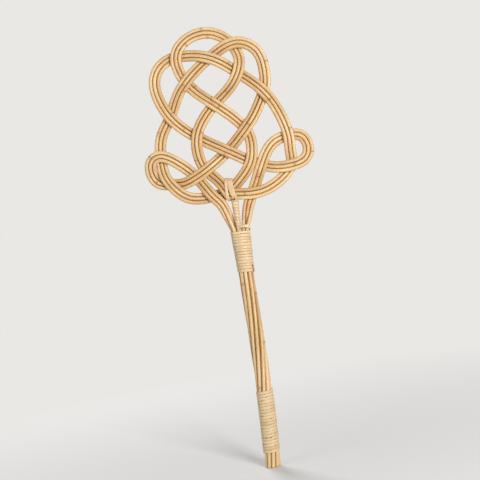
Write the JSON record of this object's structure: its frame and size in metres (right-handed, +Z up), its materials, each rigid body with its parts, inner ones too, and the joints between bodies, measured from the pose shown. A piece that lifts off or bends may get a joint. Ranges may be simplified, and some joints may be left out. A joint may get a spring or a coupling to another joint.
{
  "type": "carpet beater",
  "caption": "Rattan carpet beater: a flat openwork knot of three-cane bands on a straight bundled-cane handle with split-cane bindings.",
  "frame": {"origin": "centre of the butt end of the centre cane, where the handle is cut off", "axes": "+Z up along the handle towards the knot, striking face towards -Y, +X to the right seen from that face"},
  "size_m": [0.2679, 0.0325, 0.6973],
  "materials": {
    "cane": "peeled rattan, smooth, soft sheen",
    "split_cane": "split rattan skin, matt to soft sheen"
  },
  "bodies": {
    "root": {"long_cane_outer": "cane", "long_cane_middle": "cane", "long_cane_inner": "cane", "short_cane_outer": "cane", "short_cane_middle": "cane", "short_cane_inner": "cane", "handle_cane_front_left": "cane", "handle_cane_front_right": "cane", "handle_cane_back_right": "cane", "handle_cane_back": "cane", "handle_cane_core": "cane", "centre_cane": "cane", "grip_binding": "split_cane", "neck_binding": "split_cane", "throat_winding": "split_cane", "throat_tie": "split_cane"}
  },
  "joints": []
}
